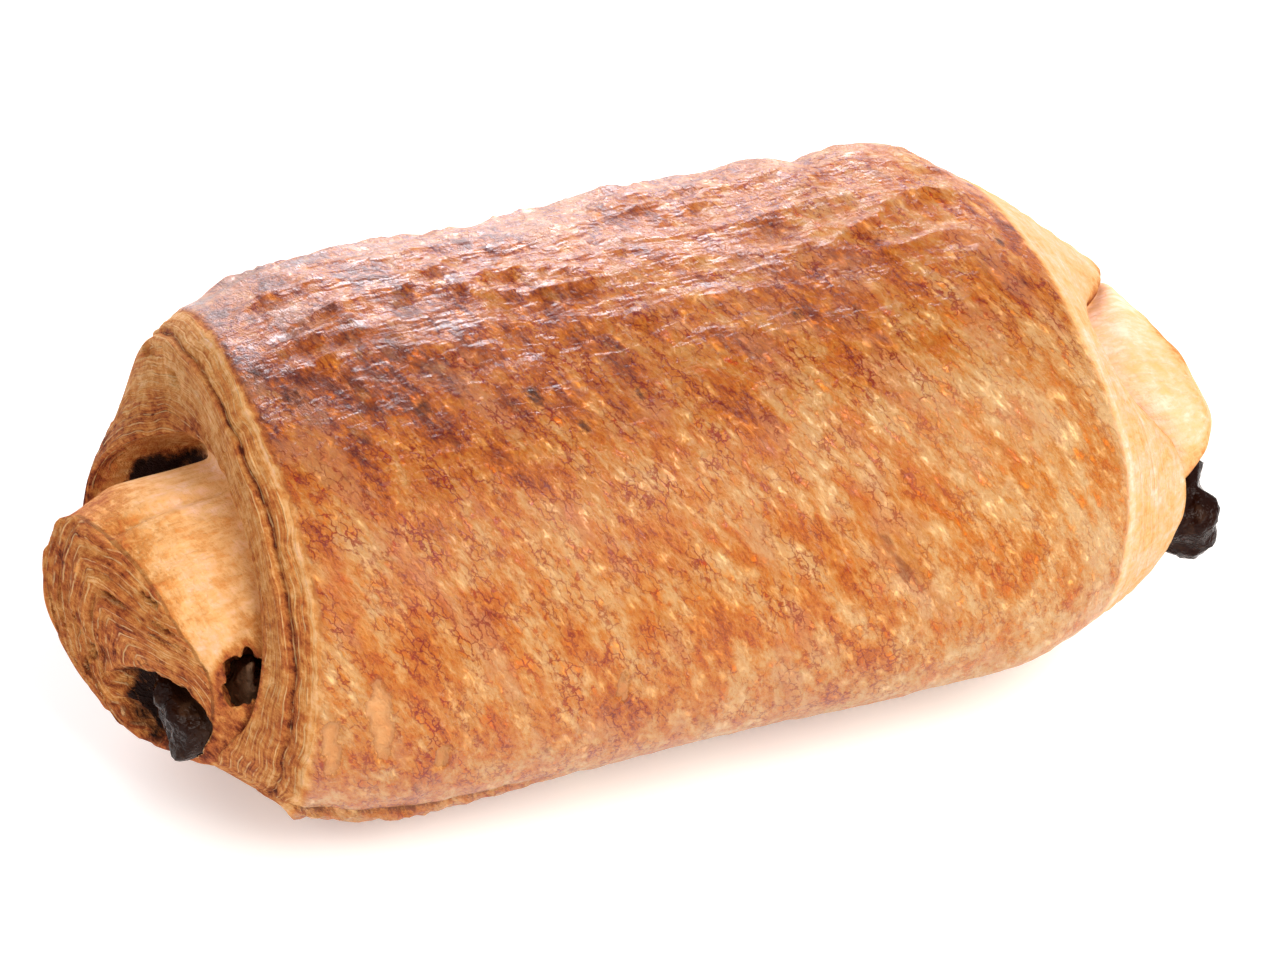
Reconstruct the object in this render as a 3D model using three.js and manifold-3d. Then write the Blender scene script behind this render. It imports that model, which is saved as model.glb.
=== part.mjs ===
// A pain au chocolat: one baked roll of laminated dough around two sticks of dark chocolate.
// Millimetres. +X runs along the roll, +Z is up, and the origin is the middle of the flat base.
//
// The dough is one solid. A strip of dough is rolled up around the sticks, so each end shows the
// cut edge of the outer turn as a sloping band, a crevice, and the inner roll pushed out past it.
// The sticks lie side by side in two tunnels that run the whole length and open at both ends.
import * as THREE from 'three';
import { mergeVertices } from 'three/addons/utils/BufferGeometryUtils.js';
import Module from 'manifold-3d';

// The whole roll.
const LENGTH = 125;
const WIDTH = 65;
const HEIGHT = 50;
const AXIS_HEIGHT = 23; // the widest point stands this far above the base
const BASE_SQUARENESS = 0.9; // under 1 fills the lower corners out, as the dough slumps on its tray
const BASE_DROP = 1.08; // over 1 reaches below the base, and what is below it is pressed flat

// The outer turn, between its two rims.
const RIM_SPAN = 86; // from the left rim to the right one
const RIM_RADIUS = 28.6;
const SHOULDER = 13; // how far in from a rim the skin has swollen out to the full width
const BAND_DEPTH = 6.5; // how far the cut edge slopes out past the rim
const BAND_BULGE = 1.2;
const SHEET_THICKNESS = 6;
const LIP_ROUNDING = 0.6;
const CREVICE_DEPTH = 3.5;
const CREVICE_WIDTH = 1.8;

// The inner roll's ends, which push out past the outer turn, low and towards the front.
const INNER_RADIUS = 20.8;
const INNER_EDGE_RADIUS = 17.2;
const DOME_DEPTH = 6; // how far its end domes out past its edge
const INNER_OFFSET = { y: -3, z: -2.5 };
const LEAN = { left: 0.3, right: 0.05 }; // how much further the back of each end pushes out

// The chocolate sticks.
const STICK = { width: 9, thickness: 6.5, corner: 2, length: 108 };
const STICKS = [
  { name: 'chocolate_stick_front', x: 2.5, y: -13, z: 16, tilt: 20 },
  { name: 'chocolate_stick_back', x: 7.5, y: -2.6, z: 13.4, tilt: -10 },
];
const CLEARANCE = 0.3; // between a stick and its tunnel

const ROUND_STEPS = 60; // around the roll
const SKIN_STEPS = 16; // along the outer turn's skin
const END_STEPS = 5; // along each round stretch of an end

const crust = new THREE.MeshStandardMaterial({ color: 0xd0803f, roughness: 0.42, metalness: 0 });
const chocolate = new THREE.MeshStandardMaterial({ color: 0x2b1611, roughness: 0.35, metalness: 0 });

const wasm = await Module();
wasm.setup();

// A closed three.js geometry as a manifold-3d solid.
function toSolid(geometry) {
  const bare = geometry.clone();
  bare.deleteAttribute('normal');
  bare.deleteAttribute('uv');
  const merged = mergeVertices(bare, 1e-3);
  return new wasm.Manifold(new wasm.Mesh({
    numProp: 3,
    vertProperties: new Float32Array(merged.attributes.position.array),
    triVerts: new Uint32Array(merged.index.array),
  }));
}

// A manifold-3d solid as a three.js geometry.
function toGeometry(solid) {
  const { vertProperties, triVerts } = solid.getMesh();
  const geometry = new THREE.BufferGeometry();
  geometry.setAttribute('position', new THREE.BufferAttribute(vertProperties, 3));
  geometry.setIndex(new THREE.BufferAttribute(triVerts, 1));
  geometry.computeVertexNormals();
  return geometry;
}

// One end's outline from its tip on the axis to the rim, as (radius, distance along the roll).
function endOutline() {
  const tip = LENGTH / 2;
  const edge = tip - DOME_DEPTH;
  const lip = RIM_SPAN / 2 + BAND_DEPTH;
  const lipRadius = RIM_RADIUS - SHEET_THICKNESS;
  const points = [];
  // The inner roll's domed end, a quarter of an ellipse from the tip to the inner roll's edge.
  for (let i = 0; i <= END_STEPS; i += 1) {
    const turn = (i / END_STEPS) * (Math.PI / 2);
    points.push([INNER_EDGE_RADIUS * Math.sin(turn), edge + DOME_DEPTH * Math.cos(turn)]);
  }
  // The inner roll's side, down to the crevice's floor.
  points.push([INNER_RADIUS - CREVICE_WIDTH / 2, lip]);
  points.push([INNER_RADIUS, lip - CREVICE_DEPTH]);
  points.push([INNER_RADIUS + CREVICE_WIDTH / 2, lip - CREVICE_DEPTH]);
  // The outer turn's rounded lip.
  points.push([lipRadius - LIP_ROUNDING, lip - LIP_ROUNDING]);
  points.push([lipRadius, lip]);
  // Its cut edge slopes back to the rim.
  points.push([(lipRadius + RIM_RADIUS) / 2 + BAND_BULGE, lip - BAND_DEPTH / 2]);
  points.push([RIM_RADIUS, RIM_SPAN / 2]);
  return points;
}

// The skin between the rims, an even roll with rounded shoulders.
function skinOutline() {
  const points = [];
  for (let i = 1; i < SKIN_STEPS; i += 1) {
    const along = (i / SKIN_STEPS - 0.5) * RIM_SPAN;
    const inward = Math.min((RIM_SPAN / 2 - Math.abs(along)) / SHOULDER, 1);
    const swell = 1 - (1 - inward) ** 2;
    points.push([THREE.MathUtils.lerp(RIM_RADIUS, WIDTH / 2, swell), along]);
  }
  return points;
}

// Turns a round section into the roll's own: domed on top, squarer and flat underneath.
function settleOnBase(geometry) {
  const position = geometry.attributes.position;
  for (let i = 0; i < position.count; i += 1) {
    const along = position.getY(i);
    const radius = Math.hypot(position.getX(i), position.getZ(i));
    const angle = Math.atan2(position.getX(i), position.getZ(i));
    const across = Math.cos(angle);
    const up = Math.sin(angle);
    const share = radius / (WIDTH / 2);
    const squareness = up < 0 ? THREE.MathUtils.lerp(1, BASE_SQUARENESS, share) : 1;
    const sideways = (WIDTH / 2) * share * Math.sign(across) * Math.abs(across) ** squareness;
    const rise = up < 0 ? AXIS_HEIGHT * BASE_DROP : HEIGHT - AXIS_HEIGHT;
    const inner = 1 - THREE.MathUtils.smoothstep(radius, INNER_RADIUS, RIM_RADIUS);
    const lean = along < 0 ? -LEAN.left : LEAN.right;
    const y = sideways + INNER_OFFSET.y * inner;
    const z = AXIS_HEIGHT + rise * share * up + INNER_OFFSET.z * inner;
    position.setXYZ(i, along + lean * sideways * inner, y, Math.max(z, 0));
  }
  return geometry;
}

// Moves and stretches the roll along X so that it is exactly LENGTH long about the origin.
function fitLength(geometry) {
  geometry.computeBoundingBox();
  const { min, max } = geometry.boundingBox;
  geometry.translate(-(min.x + max.x) / 2, 0, 0);
  return geometry.scale(LENGTH / (max.x - min.x), 1, 1);
}

function roll() {
  const left = endOutline().map(([radius, along]) => [radius, -along]);
  const right = endOutline().reverse();
  const outline = [...left, ...skinOutline(), ...right];
  const profile = outline.map(([radius, along]) => new THREE.Vector2(Math.max(radius, 0), along));
  return fitLength(settleOnBase(new THREE.LatheGeometry(profile, ROUND_STEPS)));
}

// A stick with rounded corners along +X, grown on every side by `grow`.
function stickGeometry(length, grow = 0) {
  const w = STICK.width / 2 + grow;
  const t = STICK.thickness / 2 + grow;
  const c = STICK.corner + grow;
  const section = new THREE.Shape();
  section.moveTo(-w + c, -t);
  section.lineTo(w - c, -t);
  section.absarc(w - c, -t + c, c, -Math.PI / 2, 0, false);
  section.lineTo(w, t - c);
  section.absarc(w - c, t - c, c, 0, Math.PI / 2, false);
  section.lineTo(-w + c, t);
  section.absarc(-w + c, t - c, c, Math.PI / 2, Math.PI, false);
  section.lineTo(-w, -t + c);
  section.absarc(-w + c, -t + c, c, Math.PI, Math.PI * 1.5, false);
  const geometry = new THREE.ExtrudeGeometry(section, {
    depth: length, bevelEnabled: false, curveSegments: 4,
  });
  geometry.translate(0, 0, -length / 2);
  geometry.rotateX(Math.PI / 2);
  geometry.rotateZ(Math.PI / 2); // the section's x is now the roll's +Y
  return geometry;
}

function placeStick(object, stick) {
  object.position.set(stick.x, stick.y, stick.z);
  object.rotation.x = THREE.MathUtils.degToRad(stick.tilt);
  object.updateMatrixWorld(true);
  return object;
}

// The dough, with a tunnel through its whole length for each stick.
function doughSolid() {
  let dough = toSolid(roll());
  for (const stick of STICKS) {
    const cutter = placeStick(new THREE.Object3D(), { ...stick, x: 0 });
    const tunnel = stickGeometry(LENGTH * 1.2, CLEARANCE).applyMatrix4(cutter.matrixWorld);
    dough = dough.subtract(toSolid(tunnel));
  }
  return dough;
}

const painAuChocolat = new THREE.Group();

const pastry = new THREE.Mesh(toGeometry(doughSolid()), crust);
pastry.name = 'pastry';
painAuChocolat.add(pastry);

for (const stick of STICKS) {
  const mesh = new THREE.Mesh(stickGeometry(STICK.length), chocolate);
  mesh.name = stick.name;
  painAuChocolat.add(placeStick(mesh, stick));
}

export default painAuChocolat;
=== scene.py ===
# %% [markdown]
# # Pain au chocolat
# A sheet of laminated dough, butter folded into it many times over, is rolled up around two
# sticks of dark chocolate, brushed with egg and baked. Its long side is one glossy crust. Its two
# ends are cut edges, where every layer shows as a line, and the inner turn swells out past the
# outer one. This lesson rolls that sheet up from a flat grid, sculpts the swelling, the lamination
# and the blisters into it, lets the chocolate into it, and bakes it with one material.

import bpy
import numpy as np
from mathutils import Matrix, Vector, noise


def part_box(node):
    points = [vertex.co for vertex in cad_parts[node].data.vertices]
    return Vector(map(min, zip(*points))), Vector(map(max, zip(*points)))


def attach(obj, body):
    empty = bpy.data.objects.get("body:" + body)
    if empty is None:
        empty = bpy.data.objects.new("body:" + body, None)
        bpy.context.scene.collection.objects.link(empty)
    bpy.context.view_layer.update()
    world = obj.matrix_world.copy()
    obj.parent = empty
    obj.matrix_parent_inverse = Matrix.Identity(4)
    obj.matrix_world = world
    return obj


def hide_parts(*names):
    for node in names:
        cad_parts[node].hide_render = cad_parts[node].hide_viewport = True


MM = 0.001  # one millimetre in metres
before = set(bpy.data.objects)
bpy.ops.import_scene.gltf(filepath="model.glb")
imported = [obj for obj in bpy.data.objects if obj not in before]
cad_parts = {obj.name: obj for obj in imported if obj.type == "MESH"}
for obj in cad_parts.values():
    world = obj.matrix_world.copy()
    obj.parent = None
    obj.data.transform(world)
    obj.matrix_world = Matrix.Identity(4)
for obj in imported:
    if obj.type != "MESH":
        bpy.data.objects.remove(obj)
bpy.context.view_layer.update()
LOW, HIGH = (np.array(corner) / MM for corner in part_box("pastry"))
HALF_WIDTH = (HIGH[1] - LOW[1]) / 2
HEIGHT = HIGH[2]
AXIS_HEIGHT = 0.46 * HEIGHT  # of the widest point
print("frame:", sorted(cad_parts), "pastry", np.round(HIGH - LOW, 1), "mm")

# %% [markdown]
# ## Camera
# The pastry lies at a slant, seen from above and a little to the left of square on. A long lens
# from far away keeps its two long sides parallel, as in a catalogue picture.

# %% Camera
AZIMUTH = np.radians(-19)
ELEVATION = np.radians(40)
LENS_MM = 180
SENSOR_MM = 36
VIEW_WIDTH_MM = 133.3
AIM = np.array([0.7, 0, 22.0])
distance = VIEW_WIDTH_MM * LENS_MM / SENSOR_MM
backwards = np.array([
    np.sin(AZIMUTH) * np.cos(ELEVATION),
    -np.cos(AZIMUTH) * np.cos(ELEVATION),
    np.sin(ELEVATION),
])
bpy.ops.object.camera_add(
    location=(AIM + backwards * distance) * MM,
    rotation=(np.pi / 2 - ELEVATION, 0, AZIMUTH),
)
camera = bpy.context.object
camera.data.lens = LENS_MM
camera.data.sensor_width = SENSOR_MM
camera.data.clip_start = 0.01
bpy.context.scene.camera = camera
print("camera", round(distance), "mm away")

# %% [markdown]
# ## The roll as rings
# Rolled dough is easiest to steer by a few rings round it, each where the surface turns: the rim
# of the crust, the lip of the cut edge, the bottom of the gap, the edge of the inner roll. A ring
# says how far along the roll it lies and how far out it reaches, and either may change round the
# roll. Angles go round from 0, facing the viewer, over 90, the top, to 180 at the back.

# %% Angles round the roll
COLUMNS = 256
DOME = (HEIGHT - AXIS_HEIGHT) / HALF_WIDTH  # height over width, above the widest point
SLUMP = 1.08 * AXIS_HEIGHT / HALF_WIDTH  # the same below it, before the tray presses it flat
SQUARENESS = 0.1  # how much fuller than an ellipse the crust is below its widest point
BASE_SHARE = 0.4  # columns on the flat base, against as much width of crust
LEAST_STEP = 0.004  # mm, so that no two columns meet
FLAT = 0.5  # mm: what is lower than this counts as base


def section(reach, centre, angles):
    """Across and up, in mm, of a ring: domed above its centre, squarer and flat below."""
    up = np.sin(angles)
    share = reach / HALF_WIDTH
    squareness = np.where(up < 0, 1 - SQUARENESS * share, 1.0)
    across = np.sign(np.cos(angles)) * np.abs(np.cos(angles)) ** squareness
    height = centre[1] + reach * np.where(up < 0, SLUMP, DOME) * up
    return centre[0] - reach * across, np.maximum(height, 0)


def even_angles():
    """Angles that put the columns an even way apart on the crust, and further apart on the base."""
    fine = np.radians(np.linspace(-90, 270, 3601))
    across, height = section(np.full(fine.shape, HALF_WIDTH), (0, AXIS_HEIGHT), fine)
    steps = np.hypot(np.diff(across), np.diff(height)) + LEAST_STEP
    steps *= np.where(height[1:] < FLAT, BASE_SHARE, 1)
    walked = np.concatenate([[0], np.cumsum(steps)])
    return np.interp(np.linspace(0, walked[-1], COLUMNS + 1), walked, fine)


ANGLES = even_angles()
EASING = 8  # degrees over which a value that is given at a few angles is eased


def round_roll(values):
    """A value for each column from a number or from {degrees: value}, eased between the degrees."""
    if not isinstance(values, dict):
        return np.full(COLUMNS + 1, float(values))
    degrees = sorted(values)
    stepped = np.interp(np.arange(360), degrees, [values[d] for d in degrees], period=360)
    offsets = np.arange(-20, 21)
    weights = np.exp(-(offsets / EASING) ** 2)
    eased = sum(w * np.roll(stepped, o) for w, o in zip(weights / weights.sum(), offsets))
    return np.interp(np.degrees(ANGLES), np.arange(360), eased, period=360)


print("columns at least", np.degrees(np.diff(ANGLES)).min().round(2), "degrees apart")

# %% Rings, and rows between them
def ring(x, reach, centre):
    """The points of a ring, one row of the sheet."""
    across, height = section(round_roll(reach), centre, ANGLES)
    return np.stack([round_roll(x), across, height], axis=-1)


def between(first, second, rows):
    """Rows from one ring up to the next, without the next."""
    part = np.arange(rows)[:, None, None] / rows
    return first * (1 - part) + second * part


def end_face(tip, edge, rows, fullness):
    """Rows from the tip of the inner roll out to its edge, a low dome."""
    part = np.arange(rows)[:, None] / rows
    face = np.empty((rows, COLUMNS + 1, 3))
    face[..., 0] = edge[:, 0] + (tip[0] - edge[:, 0]) * (1 - part ** fullness)
    for axis in (1, 2):
        face[..., axis] = tip[axis] + (edge[:, axis] - tip[axis]) * part
    return face


# %% [markdown]
# The outer turn's cut edge is a band that slopes out from the rim to a lip. Past the lip comes the
# gap, then the inner roll's side, its edge and its face. At the left the gap is deep and open, and
# at the right only a crease. A ring gives mm along the roll, then its reach, then its centre.

# %% The left end, where the inner roll is browned
left_edge = ring(
    {0: -50.6, 20: -50.6, 46: -53.4, 69: -55, 91: -57.6, 120: -59.6, 160: -61, 190: -60.8,
     225: -60, 255: -59, 280: -57, 300: -55.4, 325: -53, 345: -51.4},
    {0: 15.6, 20: 16, 60: 16.8, 90: 16.4, 108: 15.2, 125: 13.2, 150: 11.4, 170: 10.8, 200: 11.4,
     240: 12.6, 270: 14, 317: 15.4, 345: 15.6},
    (-3, 20),
)
left_side = ring(
    {0: -48.6, 60: -50, 90: -52, 130: -54, 180: -54, 270: -52, 317: -51.6, 345: -50},
    {0: 18.5, 80: 18.6, 92: 18.2, 108: 16.8, 130: 15.6, 150: 15, 180: 14.6, 230: 14.6, 270: 15.6,
     317: 17.6},
    (-2.8, 20.3),
)
gap_x = {0: -46, 20: -44, 50: -44, 85: -43.8, 118: -44, 130: -43, 145: -41, 165: -41, 185: -44,
         270: -49, 317: -50, 345: -48.6}
left_gap_inside = ring(
    gap_x, {0: 19.4, 85: 19, 108: 16.8, 130: 15.6, 150: 15.2, 180: 15.8, 270: 17}, (-2.4, 20.6))
left_gap_outside = ring(
    gap_x,
    {0: 20, 60: 20.6, 80: 19.8, 96: 18, 114: 16.8, 132: 16.6, 150: 17, 170: 18.4, 190: 20,
     270: 18.4, 317: 18.4, 345: 19},
    (-1.6, 21.4),
)
lip_x = {0: -48, 23: -46, 46: -45.1, 78: -44.9, 96: -44.6, 114: -45, 132: -46.2, 148: -49.8,
         161: -51.5, 174: -53, 200: -55, 230: -54, 270: -52, 317: -51.6, 345: -50}
lip_reach = {0: 21.5, 60: 21.4, 80: 20.4, 96: 18.8, 114: 17.7, 132: 17.6, 148: 18, 161: 18.4,
             174: 19.8, 190: 20.6, 270: 19.4, 317: 19.6, 345: 20.8}
left_lip = ring(lip_x, lip_reach, (-1, 22))
left_lip_inside = left_lip * 0.9 + left_gap_outside * 0.1
left_band = ring(
    {0: -46.2, 30: -44.6, 60: -44.2, 90: -44.4, 110: -45, 140: -46, 165: -46.8, 185: -48.6,
     220: -50, 270: -48.6, 317: -48.2, 345: -47.2},
    {0: 26, 60: 26.2, 90: 26.4, 120: 26.8, 150: 27, 180: 26.4, 270: 24.4, 317: 24.4},
    (0, 22.8),
)
LEFT_RIM_REACH = 29
left_rim = ring(
    {340: -44.2, 356: -43.8, 20: -41.9, 36: -41.1, 56: -41.4, 76: -41.7, 103: -42.2, 150: -42.4,
     180: -43.5, 230: -44.5, 290: -44},
    LEFT_RIM_REACH,
    (0, AXIS_HEIGHT),
)
print("left rim at", np.round(left_rim[:, 0].mean(), 1), "mm")

# %% The right end, pale, with the cut edge drawn out over the chocolate
RIGHT_RIM_REACH = {0: 28.7, 60: 28.2, 90: 27.4, 137: 25.8, 180: 26.4, 270: 28, 317: 28.6}
right_rim = ring(
    {0: 44, 18: 44.8, 33: 44.7, 50: 43.8, 75: 42.4, 95: 41.4, 137: 41, 180: 42, 270: 42.5,
     339: 43.1},
    RIGHT_RIM_REACH,
    (0, AXIS_HEIGHT),
)
right_band = ring(
    {0: 47.8, 30: 47.4, 60: 45, 90: 45, 137: 46, 180: 46, 270: 45.5},
    {0: 26, 60: 25.6, 90: 24.2, 137: 22, 180: 22.6, 270: 24.8, 317: 26},
    (-0.5, 22.6),
)
right_lip = ring(
    {340: 51, 357: 52.9, 11: 53.3, 21: 53.2, 28: 52.4, 39: 49.2, 51: 46.8, 64: 46.4, 78: 47.6,
     92: 51.6, 110: 54, 137: 54, 180: 51, 270: 49},
    {0: 20.6, 30: 21, 60: 22, 78: 20, 92: 17, 110: 15.4, 137: 16, 180: 18.4, 270: 20, 317: 22},
    (-2, 21.4),
)
right_crease = ring(
    {357: 51.4, 25: 50.8, 39: 47.4, 51: 45, 64: 44.6, 80: 46.4, 95: 50.4, 110: 52.4, 137: 52.4,
     180: 50.4, 270: 48.5, 330: 50.4},
    {0: 18.2, 30: 18.8, 60: 19.4, 78: 18, 92: 15.6, 110: 14, 137: 14.4, 180: 16.6, 270: 17.4},
    (-2.8, 21),
)
right_side = ring(
    {0: 52.8, 30: 54.2, 45: 51.6, 60: 50, 90: 52.4, 110: 54, 137: 54, 180: 52.6, 270: 51.5},
    {0: 16.6, 30: 19.2, 60: 20.4, 78: 18.6, 92: 16, 110: 14.4, 137: 14.4, 180: 16.2, 270: 15.6},
    (-3, 21),
)
right_edge = ring(
    {0: 53.4, 23: 57.2, 45: 56.8, 68: 55.4, 95: 54.8, 137: 54.8, 180: 54.4, 225: 54, 270: 53,
     320: 52.6},
    {0: 14.5, 30: 17.6, 60: 17, 78: 15.6, 92: 14.2, 110: 13.2, 137: 13, 180: 14, 270: 13,
     320: 12.6},
    (-3.4, 21),
)
print("right rim at", np.round(right_rim[:, 0].mean(), 1), "mm")

# %% [markdown]
# The rings are joined by rows of points, closer together where the layers will be sculpted. From
# the left tip to the right one they make one sheet, and each row knows its zone.

# %% Stack the rows of the whole sheet
LEFT_TIP = (-61.9, 4, 20)
RIGHT_TIP = (60.2, -7.5, 21)
CRUST_REACH = 32
SHOULDER = 13  # how far in from a rim the crust has come out to its full reach


def barrel(rows):
    """The crust between the rims: an even roll with rounded shoulders."""
    part = np.arange(rows)[:, None] / rows
    reach = np.full((rows, COLUMNS + 1), float(CRUST_REACH))
    crust = np.empty((rows, COLUMNS + 1, 3))
    crust[..., 0] = left_rim[:, 0] * (1 - part) + right_rim[:, 0] * part
    for rim, rim_reach in ((left_rim, LEFT_RIM_REACH), (right_rim, RIGHT_RIM_REACH)):
        inward = np.abs(crust[..., 0] - rim[:, 0]) / SHOULDER
        short = CRUST_REACH - round_roll(rim_reach)
        reach -= short * (1 - np.minimum(inward, 1)) ** 2
    crust[..., 1], crust[..., 2] = section(reach, (0, AXIS_HEIGHT), ANGLES[None, :])
    return crust


parts = [
    ("left face", end_face(LEFT_TIP, left_edge, 56, 1.6)),
    ("left side", between(left_edge, left_side, 10)),
    ("left side", between(left_side, left_gap_inside, 12)),
    ("left gap", between(left_gap_inside, left_gap_outside, 4)),
    ("left wall", between(left_gap_outside, left_lip_inside, 12)),
    ("left band", between(left_lip_inside, left_lip, 3)),
    ("left band", between(left_lip, left_band, 16)),
    ("left band", between(left_band, left_rim, 12)),
    ("crust", barrel(146)),
    ("right band", between(right_rim, right_band, 9)),
    ("right band", between(right_band, right_lip, 12)),
    ("right gap", between(right_lip, right_crease, 6)),
    ("right side", between(right_crease, right_side, 7)),
    ("right side", between(right_side, right_edge, 8)),
    ("right face", right_edge[None]),
    ("right face", end_face(RIGHT_TIP, right_edge, 28, 1.9)[::-1]),
]
surface = np.concatenate([rows for _, rows in parts])
zone = np.concatenate([[name] * len(rows) for name, rows in parts])
ROWS = len(surface)


def blur_rows(values, passes):
    """Eases values from row to row, and leaves the two tips where they are."""
    for _ in range(passes):
        values = values.copy()
        values[1:-1] = (values[:-2] + 2 * values[1:-1] + values[2:]) / 4
    return values


surface = blur_rows(surface, 2)
print(ROWS, "rows of", COLUMNS, "columns:", 2 * ROWS * COLUMNS, "triangles")

# %% [markdown]
# ## Reading the sheet
# Everything sculpted next is a height, in millimetres along the surface's own outward direction.
# A few fields say where each point is: how far along the roll, at what angle, in which zone, and
# how many millimetres in from the rim. The last is what laminated dough is all about, since the
# layers end at the cut edge and their lines run at a constant distance from the rim.

# %% Fields over the sheet
DEGREES = np.broadcast_to(np.degrees(ANGLES), (ROWS, COLUMNS + 1))


def inside(*names):
    """1 on the rows of these zones and 0 elsewhere, with soft ends."""
    rows = np.isin(zone, names).astype(float)
    return np.broadcast_to(blur_rows(rows[:, None], 3), (ROWS, COLUMNS + 1))


def outward(points):
    """The unit normals of the sheet."""
    along = np.gradient(points, axis=0)
    wrapped = np.concatenate([points[:, -2:-1], points, points[:, 1:2]], axis=1)
    around = (wrapped[:, 2:] - wrapped[:, :-2]) / 2
    normals = np.cross(along, around)
    normals /= np.linalg.norm(normals, axis=-1, keepdims=True) + 1e-9
    normals[0] = (-1, 0, 0)
    normals[-1] = (1, 0, 0)
    return normals


def smoothstep(value, start, stop):
    """0 up to the start, 1 from the stop on, and a soft slope between."""
    part = np.clip((value - start) / (stop - start), 0, 1)
    return part * part * (3 - 2 * part)


def hill(value, middle, width):
    """1 at the middle, falling off to 0 on both sides."""
    return np.exp(-((value - middle) / width) ** 2)


def from_angle(degrees):
    """Degrees round the roll from a given angle, 0 to 180."""
    return np.abs((DEGREES - degrees + 180) % 360 - 180)


def grain(points, size, octaves=2, seed=0):
    """Fractal noise about 0. size is one number, or one for each of X, Y and Z, in mm."""
    shifted = points / np.array(size) + seed * 17.3
    flat = [noise.fractal(p, 0.9, 2.1, octaves) for p in shifted.reshape(-1, 3).tolist()]
    return np.array(flat).reshape(points.shape[:-1])


def creases(points, size, octaves=2, seed=0):
    """Sharp crests on smooth ground: 1 on the crests, falling off to 0 on both sides."""
    return np.exp(-5 * np.abs(grain(points, size, octaves, seed)))


walked = np.linalg.norm(np.diff(surface, axis=0), axis=-1)
walked = np.concatenate([np.zeros((1, COLUMNS + 1)), np.cumsum(walked, axis=0)])
crust_rows = np.flatnonzero(zone == "crust")
from_left_rim = walked[crust_rows[0]] - walked
from_right_rim = walked - walked[crust_rows[-1]]
print("left cut edge", np.round(from_left_rim[zone == "left band"].max(), 1), "mm wide")

# %% [markdown]
# ## The crust
# In the oven steam lifts the dough into soft rumples, and the skin that has set by then folds over
# them in sharp creases, most of all along the top. The pull of the rolling leaves fine wrinkles
# round the roll. Each is a noise of its own size, stretched along the way that the feature runs.

# %% Rumples, creases and wrinkles
LEAN = 0.32  # mm along the roll for each mm round it: the sheet was rolled up at a slight angle
CREASE_MEAN = 0.3  # taken off the creases, so that they lower the crust as much as they raise it
X = surface[..., 0]
leaning = surface.copy()
leaning[..., 0] += LEAN * (surface[..., 1] + surface[..., 2])
crust = inside("crust")
raised = smoothstep(surface[..., 2], 0, 3)  # 0 on the base, which the tray keeps flat
top = smoothstep(DEGREES, 64, 96) * (1 - smoothstep(DEGREES, 165, 205))
clear = smoothstep(-from_left_rim, 1, 7) * smoothstep(-from_right_rim, 1, 7)
# Each is a height in mm times a noise, with its size in mm, its octaves and its seed.
height = crust * 0.42 * grain(surface, (14, 12, 12), 2, 1)
height += clear * (0.1 + 0.8 * top) * (creases(leaning, (22, 9, 9), 2, 2) - CREASE_MEAN)
height += clear * 0.4 * top * (creases(leaning, (12, 4, 4), 2, 3) - CREASE_MEAN)
height += crust * 0.16 * grain(leaning, (2.2, 7, 7), 2, 4)
print("rumples from", height.min().round(2), "to", height.max().round(2), "mm")

# %% Swells along the top
# Where along the roll, how high, and how wide.
for x, swell, width in ((-24, 0.35, 4), (-11, -0.8, 4.5), (2.2, 0.8, 4), (21, 0.6, 2.8),
                        (25, -0.5, 2), (30, 0.3, 3)):
    height += crust * swell * hill(X, x, width) * hill(from_angle(134), 0, 26)
print("with swells from", height.min().round(2), "to", height.max().round(2), "mm")

# %% [markdown]
# ## The seam and the torn blisters
# The sheet ends underneath, where its edge shows at the lower front as a groove over one more
# layer, with its dark line painted in as shade among the stains. Close to the left rim the skin
# rose
# in thin blisters that burst: their rims stand up a little, and the paler layer below shows inside.

# %% Seam and blisters
near_left = 1 - smoothstep(X, -30, -10)
seam = crust * near_left * hill(from_angle(-36 + 0.06 * (X + 40)), 0, 2)
under = crust * near_left * smoothstep(-DEGREES, 37, 40) * (1 - smoothstep(-DEGREES, 48, 62))
height += -0.9 * seam + under * (0.5 + 0.5 * grain(surface, 1.6, 2, 6))
torn = np.zeros(height.shape)
ragged = 0.35 * grain(surface, 2, 3, 7)
# Where along the roll, at what angle, half its width in mm and half its length in degrees.
for x, degrees, half_width, half_length in (
        (-37, 4, 1.1, 13), (-41.8, -2, 0.9, 9), (-31, -8, 0.8, 4), (-12, 2, 0.6, 4)):
    patch = np.hypot((X - x) / half_width, from_angle(degrees) / half_length) + ragged
    torn = np.maximum(torn, crust * (1 - smoothstep(patch, 0.75, 1.05)))
    height += crust * (0.22 * hill(patch, 1.1, 0.22) - 0.3 * (1 - smoothstep(patch, 0.7, 1)))
print("torn:", round(100 * torn.mean(), 2), "% of the sheet")

# %% [markdown]
# ## Lamination
# Dough and butter were folded into dozens of thin layers. On a cut edge each is a low terrace, and
# between some of them the steam opened slits. So the height rises and falls with the distance from
# the rim, and that distance is kept for the material, which draws the layers too fine to model.

# %% Terraces on the cut edges
def terrace(distance, pitch, crest):
    """Thin raised layers, a pitch in mm apart: 1 on their middles, falling off over a crest."""
    return hill((distance / pitch) % 1, 0.5, crest)


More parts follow.
